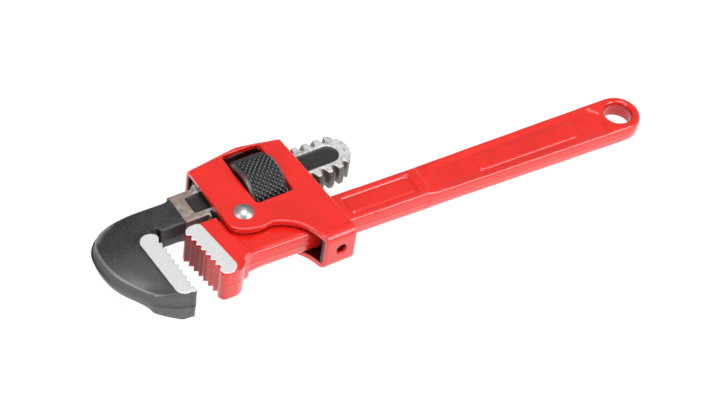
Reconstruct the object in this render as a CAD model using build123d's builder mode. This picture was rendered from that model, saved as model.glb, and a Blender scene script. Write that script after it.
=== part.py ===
"""Stillson pipe wrench, 10 inch size: forged handle and hook jaw, pressed frame, knurled nut.

Millimetres. The origin is the centre of the hanging eye, halfway through the grip. +X runs along the
handle away from the jaws, +Y from the handle towards the hook jaw's shank, +Z through the eye.
The frame, shank and nut lie in the head plane, which has its origin at the pivot rivet.
"""

import math
import os

from build123d import *

# ---- driving dimensions -----------------------------------------------------------------------
EYE_R = 6.2  # hanging eye
EYE_RIM_R = 0.8
GRIP_END_R = 10.3  # round end of the grip
GRIP_NECK_HALF = 8.95  # grip's half width where it meets the bar
GRIP_X = -102.3  # the grip's front end
BAR_REAR = -100.8  # the bar's rear end, standing on the grip
BAR_FRONT = -195.0  # the bar's front end, inside the heel jaw
GRIP_HALF_T = 4.75
BAR_HALF_T = 5.6
BAR_TOP = 8.5
BAR_BOTTOM_REAR = -8.7
BAR_BOTTOM_FRONT = -7.9
FORGED_EDGE_R = 1.2
FORGED_DRAFT = 3.0  # degrees, from the parting plane
LUG_EDGE_R = 0.6
PANEL_DEPTH = 0.7  # sunk fields on the grip and bar
PANEL_RAISE = 0.45  # blank label plates standing in those fields

PIVOT_X, PIVOT_Y = -181.0, 11.2
HEAD_TILT = 2.0  # degrees the frame leans at rest, about +Z
RIVET_R = 3.0
RIVET_HEAD_R = 4.35
RIVET_HEAD_H = 2.2
RUNNING_GAP = 0.06  # radial, rivet in the handle's bore

HEEL_HALF_T = 7.7
GROUND_RAISE = 0.3  # ground jaw faces stand this far proud of the forging
HEEL_TEETH = 8
HEEL_TIP = (-207.5, 10.4)  # first tooth tip
HEEL_PITCH = (0.53, -3.12)
HEEL_FLANK = (2.0, -0.92)  # from a tip to the root after it
HEEL_TOP_LEFT = (-203.4, 14.5)
HEEL_TOE = (-201.6, -15.0)

SHANK_Y = 16.2  # shank axis above the pivot, head plane
THREAD_R = 10.8
THREAD_ROOT_R = 8.0
THREAD_PITCH = 5.3
THREAD_GAP = 0.2  # nut thread clearance, all round
THREAD_PHASE = -0.6  # where a groove's middle passes the shank's +Y edge, head plane
GROOVE_HALF_ROOT, GROOVE_HALF_CREST = 0.7, 1.6
RIB_HALF_ROOT = THREAD_PITCH / 2 - GROOVE_HALF_ROOT
RIB_HALF_CREST = THREAD_PITCH / 2 - GROOVE_HALF_CREST
OVERCUT = 0.8  # a groove cutter's reach past the crest
SHANK_HALF_T = 5.25
SHANK_END = 60.9
SHANK_ARC = 51.2  # where the round end starts
THREAD_START = -11.0
NECK_START = -21.5
NECK_HALF = 8.0
RECESS_DEPTH = 0.9  # long sunk field in each flat of the shank
RECESS_HALF = 4.75
RECESS_FRONT, RECESS_REAR = -15.8, 50.7

HOOK_HALF_T = 6.6
HOOK_DRAFT = 4.0
HOOK_EDGE_R = 0.8
NECK_EDGE_R = 1.0
PAD_EDGE_R = 0.3
HOOK_WEB_DEPTH = 0.9
HOOK_PAD_HALF_T = 7.9
HOOK_FACE_X = -36.6  # hook tooth tips
HOOK_TEETH = 10
HOOK_PITCH = 3.2
HOOK_TIP_Y = 4.2  # first tooth tip
HOOK_DEPTH = 1.5
HOOK_DROP = 0.66  # how far a tip lies below the root above it
HOOK_NECK_Y, HOOK_BACK_Y = 22.9, 23.3
THROAT_Y = 7.8
TOE_Y = -28.0

FRAME_HALF_T = 9.5
SHEET = 2.8
FRAME_FRONT = -9.0
FRAME_REAR_TOP = 34.6
FRAME_REAR_BOTTOM = 37.0
ROOF_FRONT_Y, ROOF_PEAK_Y, ROOF_REAR_Y = 31.5, 34.6, 31.3
ROOF_PEAK_X = 15.5
STRAP_Y = -28.6
STRAP_FRONT = 23.0
BEND_R = 3.4
WINDOW = (7.3, 1.9, 25.0, 31.3)  # x0, y0, x1, y1; its top cuts into the bend
WINDOW_CORNER_R = 1.5
STRAP_HOLE_R = 2.4
STRAP_HOLE_X = 30.4

NUT_R = 14.0
NUT_END_GAP = 0.35  # nut to window edge
NUT_CHAMFER = 1.3

COIL_WIRE_R = 0.5
COIL_MEAN_R = 2.7
COIL_TURNS = 6
COIL_POCKET_R = 3.7
COIL_POCKET_TOP = -1.0
LEAF_T = 0.6
LEAF_WIDTH = 8.0
LEAF_RIVET_R = 1.2
LEAF_RIVET_X = 3.6
LEAF_GAP = 0.1  # leaf to roof
BUTTON_R = 2.1  # heads of the leaf's rivet

HEAD = Plane(
    origin=(PIVOT_X, PIVOT_Y, 0),
    x_dir=(math.cos(math.radians(HEAD_TILT)), math.sin(math.radians(HEAD_TILT)), 0),
    z_dir=(0, 0, 1),
)
SHANK = Plane(  # +Z along the shank towards its free end, +X away from the handle
    origin=HEAD.from_local_coords((0, SHANK_Y, 0)), x_dir=HEAD.y_dir, z_dir=HEAD.x_dir
)
REACH = 40.0  # longer than any cut needs
PIECE_ARC = 90.0  # degrees of turn in each piece of thread


def slab(outline, half_thickness, edge_radius=0.0, draft=0.0):
    """A forged slab: the outline to both sides of the parting plane, drafted, its rims rounded."""
    with BuildPart() as blank:
        extrude(outline, amount=half_thickness, taper=draft)
        if edge_radius > 0:
            fillet(blank.faces().sort_by(Axis.Z)[-1].edges(), edge_radius)
        mirror(about=Plane.XY)
    return blank.part


def both_faces(outline, depth_from, depth_to):
    """The outline as two plates, one on each side, between two heights from the middle plane."""
    with BuildPart() as plates:
        extrude(outline, amount=depth_to, both=True)
        extrude(outline, amount=depth_from, both=True, mode=Mode.SUBTRACT)
    return plates.part


def thread_piece(root_radius, crest_radius, half_root, half_crest):
    """A short helical rib about +Z whose middle stands at z = 0 on the +X side."""
    rise = THREAD_PITCH * PIECE_ARC / 360
    with BuildPart() as rib:
        with BuildLine() as path:
            Helix(pitch=THREAD_PITCH, height=rise, radius=root_radius)
        with BuildSketch(Plane.XZ):
            with BuildLine():
                Polyline(
                    (root_radius, -half_root), (crest_radius, -half_crest),
                    (crest_radius, half_crest), (root_radius, half_root), close=True,
                )
            make_face()
        sweep(path=path.line, is_frenet=True)
    return Location((0, 0, -rise / 2), (0, 0, -PIECE_ARC / 2)) * rib.part


def export(part, label):
    part.label = label
    export_step(part, f"parts/{label}.step")


os.makedirs("parts", exist_ok=True)

# ---- handle -----------------------------------------------------------------------------------
# Grip: a tapered slab with a round end. Its sunk field stops short of the eye and of the bar.
with BuildSketch() as grip_outline:
    with BuildLine():
        Line((GRIP_X, GRIP_NECK_HALF), (0, GRIP_END_R))
        ThreePointArc((0, GRIP_END_R), (GRIP_END_R, 0), (0, -GRIP_END_R))
        Line((0, -GRIP_END_R), (GRIP_X, -GRIP_NECK_HALF))
        Line((GRIP_X, -GRIP_NECK_HALF), (GRIP_X, GRIP_NECK_HALF))
    make_face()
with BuildSketch() as grip_field:
    with BuildLine():
        Line((-89.5, 6.9), (-11, 7.7))
        ThreePointArc((-11, 7.7), (-9.0, 0), (-11, -7.7))
        Line((-11, -7.7), (-89.5, -6.9))
        ThreePointArc((-89.5, -6.9), (-96.4, 0), (-89.5, 6.9))
    make_face()
    fillet(grip_field.vertices().group_by(Axis.X)[-1], 2.0)
with BuildSketch() as grip_plate:
    with Locations((-49.8, -0.5)):
        RectangleRounded(50, 8.2, 0.8)

# Bar: narrower and thicker than the grip, and thinner at its front than at its rear.
with BuildSketch() as bar_outline:
    Polygon(
        (BAR_REAR, BAR_TOP), (BAR_FRONT, BAR_TOP), (BAR_FRONT, BAR_BOTTOM_FRONT),
        (BAR_REAR, BAR_BOTTOM_REAR), align=None,
    )
with BuildSketch() as bar_field:
    with Locations((-122.7, -0.4)):
        RectangleRounded(33, 10.4, 0.8)
with BuildSketch() as bar_plate:
    with Locations((-122.7, -0.5)):
        RectangleRounded(30, 7.4, 0.6)

# Lug: carries the pivot. Its top slopes, so that the shank rocks on it between two stops.
with BuildSketch(HEAD) as lug_outline:
    with BuildLine():
        Polyline(
            (-10.0, -12), (-10.0, 3.2), (4.5, 4.9), (6.2, 4.2), (9.0, 0.4), (18.0, -2.6), (18.0, -12),
            close=True,
        )
    make_face()
    fillet(lug_outline.vertices().sort_by(Axis.Y)[-1], 0.8)

# Heel jaw: a block thicker than the bar, toothed on its front.
heel_tips = [
    (HEEL_TIP[0] + i * HEEL_PITCH[0], HEEL_TIP[1] + i * HEEL_PITCH[1]) for i in range(HEEL_TEETH)
]
heel_saw = []
for tip_x, tip_y in heel_tips:
    heel_saw += [(tip_x, tip_y), (tip_x + HEEL_FLANK[0], tip_y + HEEL_FLANK[1])]
heel_saw.pop()
with BuildSketch() as heel_outline:
    with BuildLine():
        Polyline(*heel_saw)
        ThreePointArc(heel_tips[-1], (-203.2, -14.0), HEEL_TOE)
        Line(HEEL_TOE, (-198.0, -15.0))
        ThreePointArc((-198.0, -15.0), (-193.4, -13.1), (-191.4, -9.0))
        Polyline(
            (-191.4, -9.0), (-187.6, -7.9), (-189.6, 1.6), (-191.6, 6.0), (-191.6, 14.5), HEEL_TOP_LEFT
        )
        ThreePointArc(HEEL_TOP_LEFT, (-206.3, 13.3), heel_tips[0])
    make_face()
with BuildSketch() as heel_ground_outline:
    with BuildLine():
        Polyline(*heel_saw)
        ThreePointArc(heel_tips[-1], (-203.0, -13.6), (-200.6, -14.6))
        ThreePointArc((-200.6, -14.6), (-197.6, -13.6), (-196.1, -10.6))
        Line((-196.1, -10.6), (-199.4, 12.9))
        ThreePointArc((-199.4, 12.9), (-200.6, 14.2), (-202.8, 14.4))
        ThreePointArc((-202.8, 14.4), (-206.2, 13.1), heel_tips[0])
    make_face()

with BuildPart() as handle:
    add(slab(grip_outline.sketch, GRIP_HALF_T, FORGED_EDGE_R))
    add(both_faces(grip_field.sketch, GRIP_HALF_T - PANEL_DEPTH, REACH), mode=Mode.SUBTRACT)
    add(both_faces(grip_plate.sketch, GRIP_HALF_T - 2, GRIP_HALF_T - PANEL_DEPTH + PANEL_RAISE))
    add(slab(bar_outline.sketch, BAR_HALF_T, FORGED_EDGE_R, FORGED_DRAFT))
    add(both_faces(bar_field.sketch, BAR_HALF_T - PANEL_DEPTH, REACH), mode=Mode.SUBTRACT)
    add(both_faces(bar_plate.sketch, BAR_HALF_T - 2, BAR_HALF_T - PANEL_DEPTH + PANEL_RAISE))
    add(slab(lug_outline.sketch, BAR_HALF_T, LUG_EDGE_R))
    add(slab(heel_outline.sketch, HEEL_HALF_T))
    add(slab(heel_ground_outline.sketch, HEEL_HALF_T + GROUND_RAISE))
    with BuildSketch():
        Circle(EYE_R)
    extrude(amount=REACH, both=True, mode=Mode.SUBTRACT)
    eye_rims = handle.edges().filter_by(GeomType.CIRCLE).filter_by(lambda e: abs(e.radius - EYE_R) < 0.01)
    fillet(eye_rims, EYE_RIM_R)
    with BuildSketch(HEAD):
        Circle(RIVET_R + RUNNING_GAP)
    extrude(amount=REACH, both=True, mode=Mode.SUBTRACT)
    strap_hole = HEAD.from_local_coords((STRAP_HOLE_X, 0, 0))
    coil_mouth = Plane(origin=(strap_hole.X, COIL_POCKET_TOP, 0), x_dir=(1, 0, 0), z_dir=(0, -1, 0))
    with BuildSketch(coil_mouth):
        Circle(COIL_POCKET_R)
    extrude(amount=REACH / 2, mode=Mode.SUBTRACT)
export(handle.part, "handle")

# ---- hook jaw ---------------------------------------------------------------------------------
# Shank: a screw planed flat on two sides, so that thread is left on its top and bottom edges.
flank_slope = (GROOVE_HALF_CREST - GROOVE_HALF_ROOT) / (THREAD_R - THREAD_ROOT_R)
groove = thread_piece(
    THREAD_ROOT_R, THREAD_R + OVERCUT, GROOVE_HALF_ROOT, GROOVE_HALF_CREST + OVERCUT * flank_slope
)
first_groove = THREAD_PHASE - 2 * THREAD_PITCH
groove_places = []
for i in range(math.ceil((SHANK_END - first_groove) / THREAD_PITCH)):
    groove_x = first_groove + i * THREAD_PITCH
    groove_places.append(Location((0, 0, groove_x)))
    groove_places.append(Location((0, 0, groove_x + THREAD_PITCH / 2), (0, 0, 180)))
with BuildPart(SHANK) as shank:
    with BuildSketch(SHANK.offset(THREAD_START)):
        Circle(THREAD_R)
        Rectangle(3 * THREAD_R, 2 * SHANK_HALF_T, mode=Mode.INTERSECT)
    extrude(amount=SHANK_END - THREAD_START)
    with Locations(*groove_places):
        add(groove, mode=Mode.SUBTRACT)
with BuildSketch(HEAD) as shank_end:  # all that lies past the round end
    with BuildLine():
        arc_top, arc_bottom = (SHANK_ARC, SHANK_Y + 10.2), (SHANK_ARC, SHANK_Y - 9.2)
        Polyline(arc_bottom, (SHANK_ARC, 0), (70, 0), (70, 40), (SHANK_ARC, 40), arc_top)
        ThreePointArc(arc_top, (SHANK_END, SHANK_Y + 0.5), arc_bottom)
    make_face()
with BuildSketch(HEAD) as neck_outline:
    with Locations(((NECK_START + THREAD_START) / 2, SHANK_Y)):
        Rectangle(THREAD_START - NECK_START + 1.0, 2 * NECK_HALF)

# Hook: back, nose and toe are one smooth curve, the throat and the toothed face are straight.
nose = [(-44.0, HOOK_BACK_Y), (-55.4, 21.0), (-61.4, 14.6), (-63.0, 4.6), (-60.0, -8.0)]
nose += [(-53.2, -19.2), (-43.5, -26.8)]
with BuildSketch(HEAD) as hook_outline:
    with BuildLine():
        Line((NECK_START, HOOK_NECK_Y), nose[0])
        Spline(*nose, tangents=((-1, 0), (0.86, -0.51)))
        Polyline(nose[-1], (HOOK_FACE_X - 1.2, TOE_Y), (HOOK_FACE_X, TOE_Y + 0.7), (HOOK_FACE_X, THROAT_Y))
        Polyline((HOOK_FACE_X, THROAT_Y), (NECK_START, THROAT_Y), (NECK_START, HOOK_NECK_Y))
    make_face()
with BuildSketch(HEAD) as web_outline:  # sunk inside the rim, and open to the back and the neck
    with BuildLine():
        Polyline((NECK_START + 5, 35), (-64, 35), (-64, 18.0), (-59.0, 15.5))
        Spline((-59.0, 15.5), (-60.4, 4.4), (-57.6, -7.8), (-51.6, -17.6), (-45.4, -22.8))
        Polyline((-45.4, -22.8), (-44.9, -10.0), (-45.4, 6.0), (HOOK_FACE_X, 12.0), (HOOK_FACE_X + 2, -5))
        Polyline((HOOK_FACE_X + 2, -5), (NECK_START + 5, -5), (NECK_START + 5, 35))
    make_face()
with BuildSketch(HEAD) as pad_outline:  # ground strip beside the teeth
    with BuildLine():
        Line((HOOK_FACE_X, -27.2), (HOOK_FACE_X, HOOK_TIP_Y + 1.4))
        ThreePointArc((HOOK_FACE_X, HOOK_TIP_Y + 1.4), (-41.3, 8.0), (-45.4, 3.6))
        Line((-45.4, 3.6), (-44.4, -22.5))
        ThreePointArc((-44.4, -22.5), (-43.2, -25.7), (-39.8, -26.9))
        Line((-39.8, -26.9), (HOOK_FACE_X, -27.2))
    make_face()
hook_saw = [(HOOK_FACE_X + 3, HOOK_TIP_Y + 6), (HOOK_FACE_X, HOOK_TIP_Y + 6), (HOOK_FACE_X, HOOK_TIP_Y)]
for i in range(1, HOOK_TEETH):
    tip_y = HOOK_TIP_Y - i * HOOK_PITCH
    hook_saw += [(HOOK_FACE_X - HOOK_DEPTH, tip_y + HOOK_DROP), (HOOK_FACE_X, tip_y)]
hook_saw += [(HOOK_FACE_X + 3, hook_saw[-1][1])]
with BuildSketch(HEAD) as hook_grooves:
    Polygon(*hook_saw, align=None)

recess_top, recess_bottom = SHANK_Y + RECESS_HALF, SHANK_Y - RECESS_HALF
with BuildSketch(HEAD) as mark_recess:
    with BuildLine():
        Polyline(
            (RECESS_REAR, recess_top), (RECESS_FRONT, recess_top),
            (RECESS_FRONT, recess_bottom), (RECESS_REAR, recess_bottom),
        )
        ThreePointArc(
            (RECESS_REAR, recess_bottom), (RECESS_REAR + RECESS_HALF, SHANK_Y), (RECESS_REAR, recess_top)
        )
    make_face()
    fillet(mark_recess.vertices().group_by(Axis.X)[0], 1.2)

with BuildPart() as hook_jaw:
    add(shank.part)
    extrude(shank_end.sketch, amount=REACH, both=True, mode=Mode.SUBTRACT)
    add(slab(neck_outline.sketch, SHANK_HALF_T, NECK_EDGE_R))
    add(slab(hook_outline.sketch, HOOK_HALF_T, HOOK_EDGE_R, HOOK_DRAFT))
    add(both_faces(web_outline.sketch, HOOK_HALF_T - HOOK_WEB_DEPTH, REACH), mode=Mode.SUBTRACT)
    add(slab(pad_outline.sketch, HOOK_PAD_HALF_T, PAD_EDGE_R))
    extrude(hook_grooves.sketch, amount=REACH, both=True, mode=Mode.SUBTRACT)
    add(both_faces(mark_recess.sketch, SHANK_HALF_T - RECESS_DEPTH, REACH), mode=Mode.SUBTRACT)
export(hook_jaw.part, "hook_jaw")

# ---- frame ------------------------------------------------------------------------------------
# One strip bent round the shank and under the handle. The roof rises to a peak over the nut.
with BuildSketch(HEAD) as frame_outline:
    with BuildLine():
        Line((FRAME_FRONT, -2.0), (FRAME_FRONT, ROOF_FRONT_Y))
        Line((FRAME_FRONT, ROOF_FRONT_Y), (ROOF_PEAK_X - 2.5, ROOF_PEAK_Y))
        ThreePointArc(
            (ROOF_PEAK_X - 2.5, ROOF_PEAK_Y), (ROOF_PEAK_X, ROOF_PEAK_Y + 0.2),
            (ROOF_PEAK_X + 2.5, ROOF_PEAK_Y),
        )
        Line((ROOF_PEAK_X + 2.5, ROOF_PEAK_Y), (FRAME_REAR_TOP, ROOF_REAR_Y))
        Line((FRAME_REAR_TOP, ROOF_REAR_Y), (FRAME_REAR_BOTTOM, -22.5))
        Line((FRAME_REAR_BOTTOM, -22.5), (FRAME_REAR_BOTTOM, STRAP_Y))
        Line((FRAME_REAR_BOTTOM, STRAP_Y), (STRAP_FRONT, STRAP_Y))
        Line((STRAP_FRONT, STRAP_Y), (21.6, -24.0))
        ThreePointArc((21.6, -24.0), (17.0, -15.4), (7.0, -9.8))
        ThreePointArc((7.0, -9.8), (-0.5, -9.9), (-6.4, -7.6))
        ThreePointArc((-6.4, -7.6), (-8.3, -5.2), (FRAME_FRONT, -2.0))
    make_face()
with BuildSketch(HEAD) as frame_inside:
    with BuildLine():
        Polyline(
            (FRAME_FRONT - 5, STRAP_Y + SHEET), (FRAME_FRONT - 5, ROOF_FRONT_Y - SHEET - 0.7),
            (ROOF_PEAK_X - 2.5, ROOF_PEAK_Y - SHEET),
        )
        ThreePointArc(
            (ROOF_PEAK_X - 2.5, ROOF_PEAK_Y - SHEET), (ROOF_PEAK_X, ROOF_PEAK_Y + 0.2 - SHEET),
            (ROOF_PEAK_X + 2.5, ROOF_PEAK_Y - SHEET),
        )
        Polyline(
            (ROOF_PEAK_X + 2.5, ROOF_PEAK_Y - SHEET), (FRAME_REAR_TOP + 5, ROOF_REAR_Y - SHEET - 0.9),
            (FRAME_REAR_TOP + 5, STRAP_Y + SHEET), (FRAME_FRONT - 5, STRAP_Y + SHEET),
        )
    make_face()
window_x0, window_y0, window_x1, window_y1 = WINDOW
with BuildSketch(HEAD) as window:
    Polygon(
        (window_x0, window_y0), (window_x1, window_y0), (window_x1, window_y1), (window_x0, window_y1),
        align=None,
    )
    fillet(window.vertices(), WINDOW_CORNER_R)

roof_rivet_axis = Plane(
    HEAD.from_local_coords((LEAF_RIVET_X, 0, 0)), x_dir=HEAD.x_dir, z_dir=HEAD.y_dir
)

with BuildPart() as frame:
    extrude(frame_outline.sketch, amount=FRAME_HALF_T, both=True)
    bends = frame.edges().filter_by(lambda e: e.center().Z**2 > 1)
    top_bends = [e for e in bends if HEAD.to_local_coords(e.center()).Y > 30 and e.length > 3]
    strap_bends = [e for e in bends if HEAD.to_local_coords(e.center()).Y < STRAP_Y + 0.1]
    fillet(top_bends, BEND_R)
    fillet(strap_bends, BEND_R)
    extrude(frame_inside.sketch, amount=FRAME_HALF_T - SHEET, both=True, mode=Mode.SUBTRACT)
    extrude(window.sketch, amount=REACH, both=True, mode=Mode.SUBTRACT)
    with BuildSketch(HEAD):
        Circle(RIVET_R)
    extrude(amount=REACH, both=True, mode=Mode.SUBTRACT)
    strap_plane = Plane(
        origin=HEAD.from_local_coords((STRAP_HOLE_X, STRAP_Y - 5, 0)), x_dir=HEAD.x_dir, z_dir=HEAD.y_dir
    )
    with BuildSketch(strap_plane):
        Circle(STRAP_HOLE_R)
    extrude(amount=5 + SHEET + 1, mode=Mode.SUBTRACT)
    with BuildSketch(roof_rivet_axis.offset(SHANK_Y)):
        Circle(LEAF_RIVET_R)
    extrude(amount=REACH / 2, mode=Mode.SUBTRACT)
export(frame.part, "frame")

# ---- adjusting nut ----------------------------------------------------------------------------
nut_x0, nut_x1 = window_x0 + NUT_END_GAP, window_x1 - NUT_END_GAP
rib_slope = (RIB_HALF_ROOT - RIB_HALF_CREST) / (THREAD_R - THREAD_ROOT_R)
rib_room = thread_piece(
    THREAD_ROOT_R - 0.3,
    THREAD_R + THREAD_GAP,
    RIB_HALF_ROOT + 0.3 * rib_slope + THREAD_GAP,
    RIB_HALF_CREST - THREAD_GAP * rib_slope + THREAD_GAP,
)
quarter_rise = THREAD_PITCH * PIECE_ARC / 360
first_rib = THREAD_PHASE - THREAD_PITCH / 2
rib_places = [
    Location((0, 0, first_rib + i * quarter_rise), (0, 0, i * PIECE_ARC))
    for i in range(math.ceil((nut_x1 + THREAD_PITCH - first_rib) / quarter_rise))
]
with BuildPart(SHANK) as adjusting_nut:
    with BuildSketch(SHANK.offset(nut_x0)):
        Circle(NUT_R)
    extrude(amount=nut_x1 - nut_x0)
    chamfer(adjusting_nut.edges(), NUT_CHAMFER)
    with BuildSketch(SHANK.offset(nut_x0)):
        Circle(THREAD_ROOT_R + THREAD_GAP)
    extrude(amount=nut_x1 - nut_x0, mode=Mode.SUBTRACT)
    with Locations(*rib_places):
        add(rib_room, mode=Mode.SUBTRACT)
export(adjusting_nut.part, "adjusting_nut")

# ---- pivot rivet ------------------------------------------------------------------------------
with BuildPart() as pivot_rivet:
    with BuildSketch(HEAD):
        Circle(RIVET_R)
    extrude(amount=FRAME_HALF_T, both=True)
    dome_r = (RIVET_HEAD_R**2 + RIVET_HEAD_H**2) / (2 * RIVET_HEAD_H)
    with BuildSketch(Plane(origin=HEAD.origin, x_dir=HEAD.x_dir, z_dir=-HEAD.y_dir)):
        with BuildLine():
            Line((0, FRAME_HALF_T), (0, FRAME_HALF_T + RIVET_HEAD_H))
            RadiusArc((0, FRAME_HALF_T + RIVET_HEAD_H), (RIVET_HEAD_R, FRAME_HALF_T), dome_r)
            Line((RIVET_HEAD_R, FRAME_HALF_T), (0, FRAME_HALF_T))
        make_face()
    revolve(axis=Axis(HEAD.origin, (0, 0, 1)))
    mirror(about=Plane.XY)
export(pivot_rivet.part, "pivot_rivet")

# ---- coil spring ------------------------------------------------------------------------------
# Stands in the handle's pocket and pushes on the strap, round its hole.
coil_top = COIL_POCKET_TOP - 0.1
coil_bottom = HEAD.from_local_coords((STRAP_HOLE_X - COIL_MEAN_R, STRAP_Y + SHEET, 0)).Y + 0.3
coil_length = coil_top - coil_bottom - 2 * COIL_WIRE_R
with BuildPart() as coil:
    with BuildLine() as coil_path:
        Helix(pitch=coil_length / COIL_TURNS, height=coil_length, radius=COIL_MEAN_R)
    with BuildSketch(Plane(coil_path.line @ 0, z_dir=coil_path.line % 0)):
        Circle(COIL_WIRE_R)
    sweep(path=coil_path.line, is_frenet=True)
coil_base = Plane(
    origin=(strap_hole.X, coil_bottom + COIL_WIRE_R, 0), x_dir=(1, 0, 0), z_dir=(0, 1, 0)
)
coil_spring = coil_base.location * coil.part
export(coil_spring, "coil_spring")

# ---- flat spring ------------------------------------------------------------------------------
# A leaf under the front of the roof. Its bowed end stands just over the shank's thread crests.
leaf_slope = (ROOF_PEAK_Y - ROOF_FRONT_Y) / (ROOF_PEAK_X - 2.5 - FRAME_FRONT)
leaf_top_y = ROOF_FRONT_Y - SHEET - LEAF_GAP + leaf_slope * (LEAF_RIVET_X - FRAME_FRONT)
crest_y = SHANK_Y + THREAD_R
leaf_run = [
    (LEAF_RIVET_X + 3.0, leaf_top_y + 3.0 * leaf_slope),
    (LEAF_RIVET_X - 2.4, leaf_top_y - 2.4 * leaf_slope),
]
leaf_bow = [leaf_run[1], (-4.6, crest_y + LEAF_T + 0.15), (-7.8, crest_y + LEAF_T + 0.5)]
bow_tangents = ((-1, -leaf_slope), (-1, 0.3))
with BuildSketch(HEAD) as leaf_section:
    with BuildLine():
        Line(*leaf_run)
        Spline(*leaf_bow, tangents=bow_tangents)
        Spline(*[(x, y - LEAF_T) for x, y in leaf_bow], tangents=bow_tangents)
        Line(*[(x, y - LEAF_T) for x, y in leaf_run])
        for x, y in (leaf_run[0], leaf_bow[-1]):
            Line((x, y), (x, y - LEAF_T))
    make_face()
with BuildPart() as flat_spring:
    extrude(leaf_section.sketch, amount=LEAF_WIDTH / 2, both=True)
    with BuildSketch(roof_rivet_axis):
        Circle(LEAF_RIVET_R)
    extrude(amount=REACH, mode=Mode.SUBTRACT)
export(flat_spring.part, "flat_spring")

# ---- flat spring rivet ------------------------------------------------------------------------
# Through the roof and the leaf, with a low button head on each side.
leaf_bottom_y = leaf_top_y - LEAF_T
roof_top_y = leaf_top_y + SHEET + LEAF_GAP + BUTTON_R * leaf_slope
with BuildPart() as flat_spring_rivet:
    with BuildSketch(roof_rivet_axis.offset(leaf_bottom_y - 1.0)):
        Circle(LEAF_RIVET_R)
    extrude(amount=roof_top_y + 0.6 - (leaf_bottom_y - 1.0))
    with BuildSketch(roof_rivet_axis.offset(leaf_bottom_y - BUTTON_R * leaf_slope)):
        Circle(BUTTON_R)
    extrude(amount=-0.7)
    with BuildSketch(roof_rivet_axis.offset(roof_top_y)):
        Circle(BUTTON_R)
    extrude(amount=0.8)
export(flat_spring_rivet.part, "flat_spring_rivet")
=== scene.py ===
"""The pipe wrench's looks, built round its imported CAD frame. Metres, in the row frame."""

import math

import bpy
import numpy as np
from mathutils import Matrix, Vector
from mathutils.kdtree import KDTree


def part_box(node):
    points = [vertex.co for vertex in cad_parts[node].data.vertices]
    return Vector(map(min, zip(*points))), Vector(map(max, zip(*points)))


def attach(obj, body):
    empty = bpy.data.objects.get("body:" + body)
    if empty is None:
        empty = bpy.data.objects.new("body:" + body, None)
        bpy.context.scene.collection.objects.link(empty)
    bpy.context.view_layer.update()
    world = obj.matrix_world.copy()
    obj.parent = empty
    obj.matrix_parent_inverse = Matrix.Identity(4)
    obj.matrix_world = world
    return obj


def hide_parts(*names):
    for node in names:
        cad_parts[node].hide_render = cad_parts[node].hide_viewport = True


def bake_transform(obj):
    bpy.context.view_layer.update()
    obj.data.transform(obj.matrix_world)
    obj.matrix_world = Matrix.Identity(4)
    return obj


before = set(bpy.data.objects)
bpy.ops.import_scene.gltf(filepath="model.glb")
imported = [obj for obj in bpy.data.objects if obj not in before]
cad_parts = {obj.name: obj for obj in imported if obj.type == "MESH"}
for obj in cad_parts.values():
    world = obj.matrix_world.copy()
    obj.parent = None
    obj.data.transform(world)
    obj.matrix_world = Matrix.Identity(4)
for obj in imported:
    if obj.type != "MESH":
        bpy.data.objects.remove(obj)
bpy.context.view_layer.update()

MM = 0.001
PIVOT = Vector((-0.1810, 0.0112, 0.0))  # origin of the head plane
HEAD_TILT = math.radians(2.0)
SHANK_Y = 16.2  # shank axis, head plane, mm
NECK_X = -21.5  # where the hook meets the shank
BENCH_Z = -14.1 * MM
SIDE = 0.4  # a surface is a side if its normal's z is less than this
SHEET_VOXEL, HOOK_VOXEL = 0.42 * MM, 0.38 * MM


# ---- shapes -----------------------------------------------------------------------------------
def new_piece(name, mesh, body, node, material):
    """A finished mesh as a piece that stands for a CAD node."""
    piece = bpy.data.objects.new(name, mesh)
    bpy.context.scene.collection.objects.link(piece)
    mesh.materials.clear()
    mesh.materials.append(material)
    mesh.shade_smooth()
    if body:
        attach(piece, body)
    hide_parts(node)
    return piece


def remeshed(node, voxel):
    """A copy of a CAD node's mesh as one even closed skin."""
    work = bpy.data.objects.new("work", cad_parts[node].data.copy())
    bpy.context.scene.collection.objects.link(work)
    skin = work.modifiers.new("skin", "REMESH")
    skin.mode = "VOXEL"
    skin.voxel_size = voxel
    graph = bpy.context.evaluated_depsgraph_get()
    mesh = bpy.data.meshes.new_from_object(work.evaluated_get(graph), depsgraph=graph)
    bpy.data.objects.remove(work)
    return mesh


def points(mesh):
    """The mesh's vertices, in millimetres."""
    flat = np.empty(len(mesh.vertices) * 3, np.float32)
    mesh.vertices.foreach_get("co", flat)
    return flat.reshape(-1, 3).astype(float) / MM


def put(mesh, where):
    mesh.vertices.foreach_set("co", (where * MM).astype(np.float32).ravel())
    mesh.update()


def normals(mesh):
    flat = np.empty(len(mesh.vertices) * 3, np.float32)
    mesh.vertex_normals.foreach_get("vector", flat)
    return flat.reshape(-1, 3).astype(float)


def relax(mesh, where, passes, weight):
    """Each pass moves a vertex towards its neighbours' mean by its weight, 0 to 1."""
    pairs = np.empty(len(mesh.edges) * 2, np.int32)
    mesh.edges.foreach_get("vertices", pairs)
    a, b = pairs[0::2], pairs[1::2]
    count = len(where)
    degree = np.bincount(a, minlength=count) + np.bincount(b, minlength=count)
    degree = np.maximum(degree, 1)
    weight = np.broadcast_to(np.asarray(weight, float), (count,))
    for _ in range(passes):
        for axis in range(3):
            column = where[:, axis]
            total = np.bincount(a, column[b], count) + np.bincount(b, column[a], count)
            where[:, axis] = column + weight * (total / degree - column)
    return where


def even(mesh, where, passes):
    """Takes out the skin's stair steps and keeps its size."""
    for _ in range(passes):
        relax(mesh, where, 1, 0.5)
        relax(mesh, where, 1, -0.52)
    return where


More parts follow.
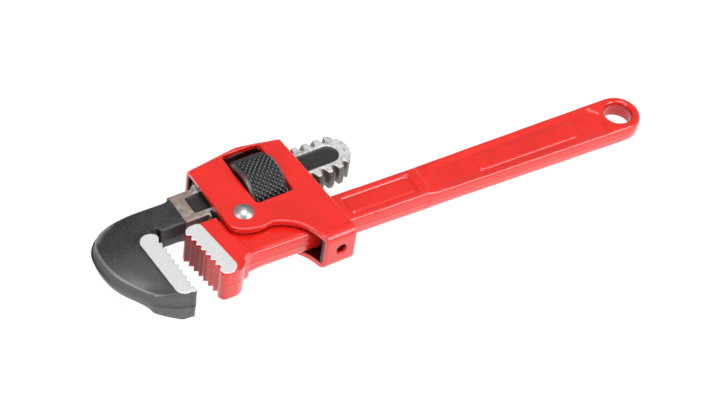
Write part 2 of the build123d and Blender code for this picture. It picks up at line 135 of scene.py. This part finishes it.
def in_head(where):
    """Row-frame millimetres to the head plane's x and y."""
    c, s = math.cos(HEAD_TILT), math.sin(HEAD_TILT)
    x, y = where[:, 0] - PIVOT.x / MM, where[:, 1] - PIVOT.y / MM
    return x * c + y * s, y * c - x * s


def ramp(value, low, high):
    t = np.clip((value - low) / (high - low), 0, 1)
    return t * t * (3 - 2 * t)


def distance_to(where, marked):
    """Each vertex's distance, seen from above, from the nearest marked one, in mm."""
    tree = KDTree(int(marked.sum()))
    for i, (x, y, _) in enumerate(where[marked]):
        tree.insert((x, y, 0.0), i)
    tree.balance()
    return np.array([tree.find((x, y, 0.0))[2] for x, y, _ in where])


# Handle, in row millimetres. A pair is where a change starts and where it is complete.
GRIP_X = -102.3  # where the grip ends and the thicker bar starts
BAR_FROM = -190.0  # x, past which is the heel
GRIP_HALF_T, BAR_HALF_T = 4.75, 5.6
HEEL_GROUND = (7.5, 7.8)  # half thickness at which the heel's ground faces stand
RELIEF = 0.75  # the share by which the sunk fields go deeper than the CAD's
DEEPEST = 0.8  # depth of the CAD's own sunk fields, at most
FIELD_EDGE = (1.4, 2.0)  # distance from the outline
EDGE_ROLL = (2.8, 3.9)  # distance from the outline at which the rounded border has ended
ROLL_START = (-188.0, -180.0)  # x, so that the heel keeps its edges
SEAM_HEIGHT, SEAM_WIDTH = 0.16, 0.45  # the parting line's


def make_handle(material):
    mesh = remeshed("handle", SHEET_VOXEL)
    where = even(mesh, points(mesh), 6)
    put(mesh, where)
    height = np.abs(where[:, 2])
    ground = ramp(height, *HEEL_GROUND)
    outline = (np.abs(normals(mesh)[:, 2]) < SIDE) & (height < 1.5)
    away = distance_to(where, outline)
    # each sunk field goes deeper in proportion, so the plates in it still stand up from its floor
    top = np.where(where[:, 0] > GRIP_X, GRIP_HALF_T, BAR_HALF_T)
    sunk = np.clip(top - height, 0, DEEPEST)
    field = ramp(away, *FIELD_EDGE) * (where[:, 0] > BAR_FROM) * (height > 3.0)
    where[:, 2] -= np.sign(where[:, 2]) * RELIEF * sunk * field
    # the border between outer edge and field is one round roll, and the plates stay crisp
    edge = (1 - ramp(away, *EDGE_ROLL)) * ramp(height, 1.2, 2.4) * (1 - ground)
    edge = edge * ramp(where[:, 0], *ROLL_START)
    relax(mesh, where, 64, 0.5 * edge)
    relax(mesh, where, 2, 0.5 * (1 - ground))
    put(mesh, where)
    # the parting line left along both narrow sides of the forging
    facing = normals(mesh)
    side = ramp(np.abs(facing[:, 1]), 0.75, 0.95) * ramp(np.abs(where[:, 1]), 6.5, 7.5)
    ridge = SEAM_HEIGHT * np.exp(-((where[:, 2] / SEAM_WIDTH) ** 2)) * side
    where += facing * ridge[:, None]
    put(mesh, where)
    new_piece("handle_forged", mesh, "handle", "handle", material)


def make_frame(material):
    mesh = remeshed("frame", SHEET_VOXEL)
    where = even(mesh, points(mesh), 12)
    relax(mesh, where, 2, 0.5)
    put(mesh, where)
    new_piece("frame_pressed", mesh, "frame", "frame", material)


# Hook jaw, in millimetres on the head plane. A pair is where a change starts and is complete.
HOOK_HALF_T = 6.6
NOSE_HALF_T, BACK_HALF_T = 1.5, 4.4  # half thickness left at the outline
NOSE_ROUND, BACK_ROUND = 7.5, 2.6  # how far in from the outline the rounding reaches
NOSE_FROM = (38.0, 54.0)  # -x, from the back's rounding to the nose's
HOOK_PAD = (6.85, 7.15)  # half thickness at which the ground pad stands
FLASH, FLASH_WIDTH = 0.3, 0.5  # the parting line's height and width
LEDGE = 0.4  # how much further in the upper die's half stands
TOOTH_X, TOOTH_TOP = -36.6, (4.5, 6.5)  # tooth tips, and y above the first
TOE_FADE = (-30.0, -13.0)  # y over which the nose's rounding comes in
TOE_SWELL = 0.14  # the share by which the toe is thicker than the rest
SWELL_FADE = (-26.0, -18.0)  # y


def make_hook(material):
    mesh = remeshed("hook_jaw", HOOK_VOXEL)
    where = even(mesh, points(mesh), 4)
    put(mesh, where)
    x, y = in_head(where)
    height = np.abs(where[:, 2])
    forged = 1 - ramp(x, NECK_X - 3.0, NECK_X - 0.6)
    off_pad = 1 - ramp(height, *HOOK_PAD)
    teeth = ramp(x, TOOTH_X - 5.0, TOOTH_X - 3.5) * (1 - ramp(y, *TOOTH_TOP))
    skin = off_pad * (1 - teeth)
    off_toe = ramp(y, *TOE_FADE)

    # the outer edge is rounded like a drop forging's, most of all at the nose
    outline = (np.abs(normals(mesh)[:, 2]) < SIDE) & (height < 2.0) & (x < NECK_X)
    outline &= (y > 18.0) | (x < -41.5)
    away = distance_to(where, outline)
    nose = ramp(-x, *NOSE_FROM)
    reach = BACK_ROUND + (NOSE_ROUND - BACK_ROUND) * nose
    edge = NOSE_HALF_T + (BACK_HALF_T - NOSE_HALF_T) * (1 - nose)
    inward = np.clip(away / reach, 0, 1)
    profile = (edge + (HOOK_HALF_T - edge) * np.sqrt(1 - (1 - inward) ** 2)) / HOOK_HALF_T
    where[:, 2] *= 1 + (profile - 1) * forged * off_toe * skin
    # the toe is nearly as thick as its pad
    where[:, 2] *= 1 + TOE_SWELL * (1 - ramp(y, *SWELL_FADE)) * skin
    off_seam = ramp(np.abs(where[:, 2]), 0.5, 1.6)
    relax(mesh, where, 26, 0.5 * forged * skin * off_toe * off_seam)
    relax(mesh, where, 3, 0.4 * forged * skin)
    put(mesh, where)

    # the parting line stands on sides drawn in by its own height, so it ends at the full size
    facing = normals(mesh)
    x, y = in_head(where)
    side = 1 - ramp(np.abs(facing[:, 2]), SIDE, 0.75)
    outer = side * forged * (1 - ramp(x, -39.5, -38.0) * ramp(-y, -10.0, -9.0))
    outer = outer * (1 - ramp(x, TOOTH_X - 2.5, TOOTH_X - 1.5) * (1 - ramp(y, *TOOTH_TOP)))
    ledge = LEDGE * ramp(where[:, 2], 0.1, 0.8)
    flash = (FLASH * (np.exp(-((where[:, 2] / FLASH_WIDTH) ** 2)) - 1.0) - ledge) * outer
    where += facing * flash[:, None]
    put(mesh, where)
    new_piece("hook_jaw_forged", mesh, "hook_jaw", "hook_jaw", material)


# Nut, in millimetres along and round the shank's axis.
NUT_X0, NUT_X1 = 7.65, 24.65
NUT_R, NUT_BORE, NUT_THREAD = 13.98, 8.2, 11.0
NUT_CHAMFER = 1.3
CHAMFER_FLAT = 0.4  # how much less than its length an end's chamfer drops
CHAMFER_STEPS = (0.2, 0.45, 0.7, 0.9)
END_RADII = (12.3, 12.1, 11.6, 11.25)  # rings on each end face, from its chamfer to its bore
THREAD_ROWS = 58
GROOVE_HALF_WIDTHS = (1.19, 2.09)  # of the internal thread's groove, at its root and its mouth
KNURL_TEETH = 36
KNURL_DEPTH = 0.6
PITCH = 5.3
GROOVE_PHASE = -3.25  # where the middle of the groove passes the +Y side
STEPS = 11  # mesh steps across one knurl diamond


def knurl(turn, x):
    """Height of the diamond knurl under its crests, from turns round the nut and x in mm."""
    width = 2 * math.pi * NUT_R / KNURL_TEETH
    u, v = turn * KNURL_TEETH, x / width
    wave_a = np.abs(((u + v) % 1.0) - 0.5) * 2
    wave_b = np.abs(((u - v) % 1.0) - 0.5) * 2
    return KNURL_DEPTH * np.minimum(np.minimum(wave_a, wave_b) * 1.25, 1.0)


def make_nut(material):
    around = KNURL_TEETH * STEPS
    turn = np.arange(around) / around
    step = 2 * math.pi * NUT_R / KNURL_TEETH / STEPS
    x0, x1 = NUT_X0 + NUT_CHAMFER, NUT_X1 - NUT_CHAMFER
    rim = NUT_R - KNURL_DEPTH * 0.9
    rows = []  # each row: x, radius round the nut
    outer_x = np.arange(x0, x1, step)
    outer_x = outer_x + (x1 - outer_x[-1]) / 2 - (outer_x[0] - x0) / 2
    for x in outer_x:
        fade = ramp(x, x0 - 0.1, x0 + 0.5) * ramp(-x, -x1 - 0.1, -x1 + 0.5)
        bumpy = NUT_R - KNURL_DEPTH + knurl(turn, x)
        rows.append((x, rim + fade * (bumpy - rim)))

    def plain(x, radius):
        rows.append((x, np.full(around, radius)))

    for t in CHAMFER_STEPS:
        plain(x1 + NUT_CHAMFER * t, rim - (NUT_CHAMFER - CHAMFER_FLAT) * t)
    plain(NUT_X1, rim - NUT_CHAMFER + CHAMFER_FLAT / 2)
    for radius in END_RADII:
        plain(NUT_X1, radius)
    for x in np.linspace(NUT_X1, NUT_X0, THREAD_ROWS):
        middle = GROOVE_PHASE + PITCH * turn
        away = np.abs((x - middle + PITCH / 2) % PITCH - PITCH / 2)
        radius = np.interp(away, GROOVE_HALF_WIDTHS, (NUT_THREAD, NUT_BORE))
        rows.append((x, radius))
    for radius in reversed(END_RADII):
        plain(NUT_X0, radius)
    plain(NUT_X0, rim - NUT_CHAMFER + CHAMFER_FLAT / 2)
    for t in reversed(CHAMFER_STEPS):
        plain(x0 - NUT_CHAMFER * t, rim - (NUT_CHAMFER - CHAMFER_FLAT) * t)

    angle = 2 * math.pi * turn
    across = Vector((math.cos(HEAD_TILT), math.sin(HEAD_TILT), 0))
    up = Vector((-across.y, across.x, 0))
    ring = np.outer(np.cos(angle), up) + np.outer(np.sin(angle), (0, 0, 1))
    start = np.array(PIVOT) / MM + SHANK_Y * np.array(up)
    where = np.concatenate(
        [start + x * np.array(across) + ring * radius[:, None] for x, radius in rows]
    )
    count = len(rows)
    faces = []
    for i in range(count):
        j = (i + 1) % count
        for k in range(around):
            m = (k + 1) % around
            faces.append((i * around + k, j * around + k, j * around + m, i * around + m))
    mesh = bpy.data.meshes.new("adjusting_nut_knurled")
    mesh.from_pydata((where * MM).tolist(), [], faces)
    mesh.validate()
    mesh.update()
    new_piece("adjusting_nut_knurled", mesh, "nut", "adjusting_nut", material)


# Coil spring, in millimetres. Each end is one closed turn, that lies against itself.
COIL_WIRE_R = 0.5
COIL_ACTIVE_TURNS = 4
CLOSED_GAP = 0.06
COIL_STEPS, WIRE_STEPS = 40, 12


def make_coil(material):
    """The spring between handle and strap."""
    low, high = (Vector(corner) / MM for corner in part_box("coil_spring"))
    middle = (low + high) / 2
    radius = (high.x - low.x) / 2 - COIL_WIRE_R
    length = high.y - low.y - 2 * COIL_WIRE_R
    closed = 2 * COIL_WIRE_R + CLOSED_GAP
    turns = COIL_ACTIVE_TURNS + 2
    turn = np.linspace(0, turns, turns * COIL_STEPS + 1)
    knots = [0, 1, turns - 1, turns]
    rise = np.interp(turn, knots, [0, closed, length - closed, length])
    rise = rise + low.y + COIL_WIRE_R
    angle = 2 * math.pi * turn
    out = np.stack([np.cos(angle), np.zeros_like(angle), np.sin(angle)], axis=1)
    path = np.array([middle.x, 0, middle.z]) + radius * out + np.outer(rise, (0, 1, 0))
    around = 2 * math.pi * np.arange(WIRE_STEPS) / WIRE_STEPS
    ring = np.cos(around)[:, None, None] * out + np.sin(around)[:, None, None] * np.array((0, 1, 0))
    where = (path + COIL_WIRE_R * ring).transpose(1, 0, 2).reshape(-1, 3)
    last = len(where) - 1
    faces = [tuple(range(WIRE_STEPS)), tuple(range(last, last - WIRE_STEPS, -1))]
    for i in range(len(turn) - 1):
        for k in range(WIRE_STEPS):
            m = (k + 1) % WIRE_STEPS
            a, b = i * WIRE_STEPS, (i + 1) * WIRE_STEPS
            faces.append((a + k, b + k, b + m, a + m))
    mesh = bpy.data.meshes.new("coil_spring_wound")
    mesh.from_pydata((where * MM).tolist(), [], faces)
    mesh.validate()
    mesh.update()
    piece = new_piece("coil_spring_wound", mesh, None, "coil_spring", material)
    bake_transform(piece)


# ---- materials --------------------------------------------------------------------------------
class Finish:
    """Short calls that build one material's nodes. x, y and z are the head plane's, in metres."""

    def __init__(self, name):
        self.material = bpy.data.materials.new(name)
        self.material.use_nodes = True
        self.tree = self.material.node_tree
        self.shader = self.tree.nodes["Principled BSDF"]
        self.point = self.node("ShaderNodeTexCoord").outputs["Object"]
        head = self.node("ShaderNodeMapping")
        head.vector_type = "TEXTURE"
        head.inputs["Location"].default_value = PIVOT
        head.inputs["Rotation"].default_value = (0, 0, HEAD_TILT)
        self.join(self.point, head.inputs["Vector"])
        split = self.node("ShaderNodeSeparateXYZ")
        self.join(head.outputs[0], split.inputs[0])
        self.x, self.y, self.z = split.outputs
        self.height = self.sum("ABSOLUTE", self.z)

    def node(self, kind):
        return self.tree.nodes.new(kind)

    def join(self, source, socket):
        if isinstance(source, (int, float)):
            socket.default_value = source
        elif isinstance(source, tuple):
            socket.default_value = (*source, 1.0)[: len(socket.default_value)]
        else:
            self.tree.links.new(source, socket)

    def sum(self, operation, *values):
        node = self.node("ShaderNodeMath")
        node.operation = operation
        for value, socket in zip(values, node.inputs):
            self.join(value, socket)
        return node.outputs[0]

    def times(self, *values):
        result = values[0]
        for value in values[1:]:
            result = self.sum("MULTIPLY", result, value)
        return result

    def ease(self, value, low, high, to_low=0.0, to_high=1.0):
        """0 to 1 as value, in metres or plain, goes from low to high."""
        node = self.node("ShaderNodeMapRange")
        node.interpolation_type = "SMOOTHSTEP"
        for source, socket in zip((value, low, high, to_low, to_high), node.inputs):
            self.join(source, socket)
        return node.outputs[0]

    def tilt(self):
        """0 on the broad faces, 1 on the sides."""
        facing = self.node("ShaderNodeSeparateXYZ")
        self.join(self.node("ShaderNodeTexCoord").outputs["Normal"], facing.inputs[0])
        return self.sum("SUBTRACT", 1.0, self.sum("ABSOLUTE", facing.outputs["Z"]))

    def noise(self, per_metre, detail=3.0, rough=0.5, stretch=None):
        """stretch is a scale on each axis and a turn about Z."""
        node = self.node("ShaderNodeTexNoise")
        node.inputs["Scale"].default_value = per_metre
        node.inputs["Detail"].default_value = detail
        node.inputs["Roughness"].default_value = rough
        point = self.point
        if stretch:
            turn = self.node("ShaderNodeMapping")
            turn.inputs["Rotation"].default_value = (0, 0, stretch[1])
            turn.inputs["Scale"].default_value = stretch[0]
            self.join(self.point, turn.inputs["Vector"])
            point = turn.outputs[0]
        self.join(point, node.inputs["Vector"])
        return node.outputs["Fac"]

    def colour(self, amount, first, second):
        node = self.node("ShaderNodeMix")
        node.data_type = "RGBA"
        self.join(amount, node.inputs["Factor"])
        self.join(first, node.inputs["A"])
        self.join(second, node.inputs["B"])
        return node.outputs["Result"]

    def value(self, amount, first, second):
        return self.sum("ADD", first, self.times(amount, self.sum("SUBTRACT", second, first)))

    def bump(self, height, depth, normal=None):
        """depth is the metres that height 0 to 1 stands for."""
        node = self.node("ShaderNodeBump")
        node.inputs["Distance"].default_value = depth
        self.join(height, node.inputs["Height"])
        if normal is not None:
            self.join(normal, node.inputs["Normal"])
        return node.outputs[0]

    def near(self, where, reach):
        """1 at a point of the row frame, given in mm, fading to 0 at reach."""
        away = self.node("ShaderNodeVectorMath")
        away.operation = "DISTANCE"
        self.join(self.point, away.inputs[0])
        away.inputs[1].default_value = Vector(where) * MM
        return self.ease(away.outputs["Value"], reach * MM, reach * 0.55 * MM)

    def set(self, **sockets):
        for name, value in sockets.items():
            self.join(value, self.shader.inputs[name.replace("_", " ")])


def scratches(finish):
    """Grinding marks: fine lines in two directions."""
    first = finish.noise(900, 2, 0.5, ((1, 22, 1), 0.9))
    second = finish.noise(700, 2, 0.5, ((1, 18, 1), -0.35))
    return finish.sum("MULTIPLY", finish.sum("ADD", first, second), 0.5)


VERMILION = (0.90, 0.016, 0.008)
FINE = (420, 2, 0.5)  # the paint's smallest unevenness: per metre, detail, roughness
WORN_SPOTS = (((-189.8, 1.8, 6.4), 1.6), ((-206.0, 2.2, 1.0), 0.9))  # row mm, and reach
EYE_BORE = (6.6, 6.3)
HEEL_TEETH = (-204.0, -205.2)
GROUND_FACE = (7.82, 7.93)  # half thickness
ROOF_FRONT, ROOF_PEAK = (-9.0, 30.0), (15.5, 33.4)  # under the frame's roof, head plane
ROOF_RISE, ROOF_FALL = 0.144, -0.17  # slopes from the front, and past the peak
STRAP_INSIDE = (-27.3, -27.1)  # y
PLATE_INSIDE = (6.9, 6.7)  # half thickness


def inner_shade_mask(finish):
    """1 on the pressed frame's inner faces, between roof and strap, where painted shade darkens
    them.
    """

    def roof_line(start, slope):
        along = finish.times(finish.sum("SUBTRACT", finish.x, start[0] * MM), slope)
        return finish.sum("ADD", along, start[1] * MM)

    roof = finish.sum("MINIMUM", roof_line(ROOF_FRONT, ROOF_RISE), roof_line(ROOF_PEAK, ROOF_FALL))
    below = finish.ease(finish.sum("SUBTRACT", roof, finish.y), -0.1 * MM, 0.1 * MM)
    above = finish.ease(finish.y, *(edge * MM for edge in STRAP_INSIDE))
    between = finish.ease(finish.height, *(edge * MM for edge in PLATE_INSIDE))
    return finish.times(below, above, between)


def clouded_red(finish):
    cloud = finish.ease(finish.noise(55, 3, 0.6), 0.3, 0.7)
    return finish.colour(cloud, VERMILION, tuple(c * 0.86 for c in VERMILION))


def enamelled(finish, red, dull, bare=None, ground=None):
    """Glossy paint, matt where dull is 1 and off where bare is 1. Ground steel has its marks."""
    rough = finish.ease(finish.noise(*FINE), 0.2, 0.8, 0.26, 0.34)
    coat = 0.9
    skin = finish.bump(finish.noise(330, 2, 0.5), 0.03 * MM)
    if bare is not None:
        marks = scratches(finish)
        brushed = finish.ease(marks, 0.35, 0.65)
        red = finish.colour(
            bare, red, finish.colour(brushed, (0.68, 0.68, 0.68), (0.84, 0.84, 0.84))
        )
        rough = finish.value(bare, rough, 0.5)
        coat = finish.value(bare, coat, 0.0)
        skin = finish.bump(finish.times(marks, ground), 0.02 * MM, skin)
        finish.set(Metallic=finish.times(bare, 0.3))
    finish.set(
        Base_Color=red,
        Roughness=rough,
        Coat_Weight=finish.times(coat, finish.value(dull, 1.0, 0.1)),
        Coat_Roughness=0.09,
        Coat_IOR=1.5,
        Normal=skin,
    )
    return finish.material


def frame_enamel():
    finish = Finish("red_enamel_frame")
    inner_shade = inner_shade_mask(finish)
    # painted shade: the frame's inner faces go near black
    red = finish.colour(inner_shade, clouded_red(finish), (0.045, 0.004, 0.003))
    return enamelled(finish, red, inner_shade)


def handle_enamel():
    finish = Finish("red_enamel_handle")
    row = finish.node("ShaderNodeSeparateXYZ")
    finish.join(finish.point, row.inputs[0])
    x, y = row.outputs["X"], row.outputs["Y"]
    # painted shade: the heel's tooth flanks and grooves are darker red
    teeth = finish.times(
        finish.ease(x, *(edge * MM for edge in HEEL_TEETH)),
        finish.ease(finish.height, 7.75 * MM, 7.6 * MM),
    )
    from_eye = finish.sum("SQRT", finish.sum("ADD", finish.times(x, x), finish.times(y, y)))
    # painted shade: the eye's bore is darker red inside
    bore_shade = finish.ease(from_eye, *(edge * MM for edge in EYE_BORE))
    red = finish.colour(teeth, clouded_red(finish), (0.36, 0.010, 0.008))
    red = finish.colour(bore_shade, red, (0.58, 0.011, 0.008))
    dull = finish.sum("MAXIMUM", teeth, finish.times(bore_shade, 0.7))
    ground = finish.ease(finish.height, *(edge * MM for edge in GROUND_FACE))
    bare = ground
    uneven = finish.times(finish.noise(*FINE), 0.5)
    for where, reach in WORN_SPOTS:
        spot = finish.sum("ADD", finish.near(where, reach), uneven)
        bare = finish.sum("MAXIMUM", bare, finish.ease(spot, 0.72, 0.85))
    return enamelled(finish, red, dull, bare, ground)


def dark_forging():
    finish = Finish("dark_forging")
    cloud = finish.noise(70, 4, 0.6)
    grain = finish.noise(1500, 3, 0.6)
    marks = scratches(finish)
    hook = finish.ease(finish.x, (NECK_X + 0.1) * MM, (NECK_X - 0.4) * MM)
    shank = finish.sum("SUBTRACT", 1.0, hook)
    pad = finish.times(finish.ease(finish.height, 7.55 * MM, 7.8 * MM), hook)
    flat = finish.times(finish.ease(finish.height, 4.85 * MM, 5.1 * MM), shank)
    bright = finish.sum("MAXIMUM", pad, flat)
    rim = finish.times(finish.ease(finish.height, 1.2 * MM, 2.6 * MM), hook)
    off_axis = finish.sum("ABSOLUTE", finish.sum("SUBTRACT", finish.y, SHANK_Y * MM))
    recess = finish.times(
        shank,
        finish.ease(off_axis, 4.9 * MM, 4.7 * MM),
        finish.ease(finish.height, 5.1 * MM, 4.8 * MM),
    )
    skin = finish.colour(finish.ease(cloud, 0.3, 0.7), (0.026, 0.027, 0.030), (0.050, 0.052, 0.057))
    # painted highlight: the hook's dished face grows lighter toward the toe
    toe_highlight = finish.times(hook, finish.ease(finish.y, 14 * MM, -12 * MM))
    skin = finish.colour(finish.times(toe_highlight, 0.8), skin, (0.125, 0.129, 0.136))
    tilt = finish.tilt()
    # painted highlight: the nose's rounded rim is lighter where its faces turn
    turned = finish.times(finish.ease(tilt, 0.02, 0.16), finish.ease(tilt, 0.7, 0.4))
    nose = finish.ease(finish.x, -47 * MM, -51 * MM)
    skin = finish.colour(finish.times(turned, rim, nose, 0.8), skin, (0.28, 0.288, 0.30))
    # painted shade: a dark line along the parting line's ledge
    seam_shade = finish.times(
        hook, finish.ease(finish.height, 0.75 * MM, 0.3 * MM), finish.ease(tilt, 0.5, 0.85)
    )
    skin = finish.colour(finish.times(seam_shade, 0.85), skin, (0.012, 0.012, 0.014))
    grit = finish.ease(finish.noise(2600, 1, 0.4), 0.56, 0.68)
    skin = finish.colour(finish.times(grit, hook, 0.4), skin, (0.20, 0.205, 0.215))
    thread = finish.colour(finish.ease(cloud, 0.35, 0.65), (0.16, 0.15, 0.14), (0.24, 0.225, 0.21))
    skin = finish.colour(shank, skin, thread)
    skin = finish.colour(recess, skin, (0.06, 0.06, 0.063))
    steel = finish.colour(finish.ease(marks, 0.35, 0.65), (0.66, 0.66, 0.66), (0.84, 0.84, 0.84))
    worn = finish.ease(finish.noise(420, 3, 0.6), 0.4, 0.7)
    steel = finish.colour(finish.times(shank, worn, 0.85), steel, (0.35, 0.35, 0.35))
    neck = finish.times(flat, finish.ease(finish.x, -9 * MM, -13 * MM))
    stain = finish.ease(cloud, 0.3, 0.6, 0.75, 1.0)
    steel = finish.colour(finish.times(neck, stain), steel, (0.34, 0.275, 0.235))
    steel = finish.colour(finish.times(neck, worn, 0.5), steel, (0.20, 0.13, 0.09))
    finish.set(
        Base_Color=finish.colour(bright, skin, steel),
        Metallic=finish.value(bright, finish.value(shank, 0.35, 0.6), 0.3),
        Roughness=finish.value(bright, finish.ease(grain, 0.2, 0.8, 0.36, 0.46), 0.5),
    )
    relief = finish.bump(grain, 0.03 * MM)
    relief = finish.bump(finish.times(marks, bright), 0.02 * MM, relief)
    finish.set(Normal=relief)
    return finish.material


def black_nut():
    finish = Finish("black_nut")
    grain = finish.noise(1200, 3, 0.6)
    tone = finish.colour(finish.ease(grain, 0.3, 0.7), (0.03, 0.031, 0.034), (0.05, 0.052, 0.056))
    off_axis = finish.sum("SUBTRACT", finish.y, SHANK_Y * MM)
    squares = finish.times(off_axis, off_axis), finish.times(finish.z, finish.z)
    radius = finish.sum("SQRT", finish.sum("ADD", *squares))
    crest_wear_and_glint = finish.ease(radius, (NUT_R - 0.35) * MM, (NUT_R - 0.05) * MM)
    middle, half = (NUT_X0 + NUT_X1) / 2, (NUT_X1 - NUT_X0) / 2
    end = finish.ease(
        finish.sum("ABSOLUTE", finish.sum("SUBTRACT", finish.x, middle * MM)),
        (half - NUT_CHAMFER) * MM,
        (half - 0.9 * NUT_CHAMFER) * MM,
    )
    # crests and chamfered ends lighter: partly wear, partly painted glint
    worn = finish.sum("MAXIMUM", crest_wear_and_glint, finish.times(end, 0.9))
    tone = finish.colour(worn, tone, (0.17, 0.17, 0.175))
    finish.set(Base_Color=tone, Metallic=0.8, Roughness=finish.ease(grain, 0.2, 0.8, 0.26, 0.36))
    finish.set(Normal=finish.bump(grain, 0.015 * MM))
    return finish.material


def zinc_rivet():
    finish = Finish("zinc_rivet")
    grain = finish.noise(900, 3, 0.6)
    tone = finish.colour(finish.ease(grain, 0.3, 0.7), (0.50, 0.50, 0.51), (0.62, 0.62, 0.62))
    finish.set(Base_Color=tone, Metallic=1.0, Roughness=finish.ease(grain, 0.2, 0.8, 0.38, 0.46))
    finish.set(Normal=finish.bump(finish.noise(500, 2), 0.03 * MM))
    return finish.material


def spring_steel():
    finish = Finish("spring_steel")
    grain = finish.noise(800, 3, 0.6)
    tone = finish.colour(finish.ease(grain, 0.3, 0.7), (0.26, 0.26, 0.28), (0.42, 0.42, 0.44))
    finish.set(Base_Color=tone, Metallic=1.0, Roughness=finish.ease(grain, 0.2, 0.8, 0.25, 0.4))
    finish.set(Normal=finish.bump(grain, 0.01 * MM))
    return finish.material


make_handle(handle_enamel())
make_frame(frame_enamel())
make_hook(dark_forging())
make_nut(black_nut())
rivet_metal, spring_metal = zinc_rivet(), spring_steel()
make_coil(spring_metal)
for node, metal in (
    ("pivot_rivet", rivet_metal),
    ("flat_spring_rivet", rivet_metal),
    ("flat_spring", spring_metal),
):
    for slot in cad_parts[node].material_slots:
        slot.material = metal

# ---- studio -----------------------------------------------------------------------------------
REACH = 6.0
corners = [(-REACH, -REACH), (REACH, -REACH), (REACH, REACH), (-REACH, REACH)]
bench_mesh = bpy.data.meshes.new("bench")
bench_mesh.from_pydata([(x, y, BENCH_Z) for x, y in corners], [], [(0, 1, 2, 3)])
bench = bpy.data.objects.new("bench", bench_mesh)
bpy.context.scene.collection.objects.link(bench)
bench_white = bpy.data.materials.new("bench_white")
bench_white.use_nodes = True
white = bench_white.node_tree.nodes["Principled BSDF"]
white.inputs["Base Color"].default_value = (0.12, 0.12, 0.12, 1)
white.inputs["Roughness"].default_value = 0.9
white.inputs["Emission Color"].default_value = (1, 1, 1, 1)
white.inputs["Emission Strength"].default_value = 0.94
bench_mesh.materials.append(bench_white)

world = bpy.data.worlds.new("studio")
bpy.context.scene.world = world
world.use_nodes = True
world.node_tree.nodes["Background"].inputs["Color"].default_value = (1, 1, 1, 1)
world.node_tree.nodes["Background"].inputs["Strength"].default_value = 0.3


LIT = Vector((-0.12, 0, 0))  # where the lamps point, the middle of the wrench


def softbox(name, position, size, watts):
    lamp = bpy.data.lights.new(name, "AREA")
    lamp.shape = "DISK"
    lamp.size = size
    lamp.energy = watts
    holder = bpy.data.objects.new(name, lamp)
    bpy.context.scene.collection.objects.link(holder)
    holder.location = position
    holder.rotation_euler = (LIT - Vector(position)).to_track_quat("-Z", "Y").to_euler()


softbox("overhead", (-0.15, -0.1, 1.3), 1.0, 9.5)
softbox("left", (-1.3, -0.1, 0.7), 0.8, 5.0)
softbox("front", (0.75, -1.2, 0.85), 1.1, 14.5)

AZIMUTH, ELEVATION, ROLL = (math.radians(v) for v in (-37.406, 46.329, 9.587))
CAMERA = (-0.5086, -0.4958, 0.6536)
camera_data = bpy.data.cameras.new("camera")
camera_data.sensor_width = 36.0
camera_data.lens = 107.7
camera = bpy.data.objects.new("camera", camera_data)
bpy.context.scene.collection.objects.link(camera)
back = Vector((
    math.sin(AZIMUTH) * math.cos(ELEVATION),
    -math.cos(AZIMUTH) * math.cos(ELEVATION),
    math.sin(ELEVATION),
))
level = Vector((math.cos(AZIMUTH), math.sin(AZIMUTH), 0))
right = level * math.cos(ROLL) + back.cross(level) * math.sin(ROLL)
turned = Matrix((right, back.cross(right), back)).transposed().to_4x4()
camera.matrix_world = Matrix.Translation(CAMERA) @ turned
bpy.context.scene.camera = camera
bpy.context.scene.view_settings.view_transform = "Standard"
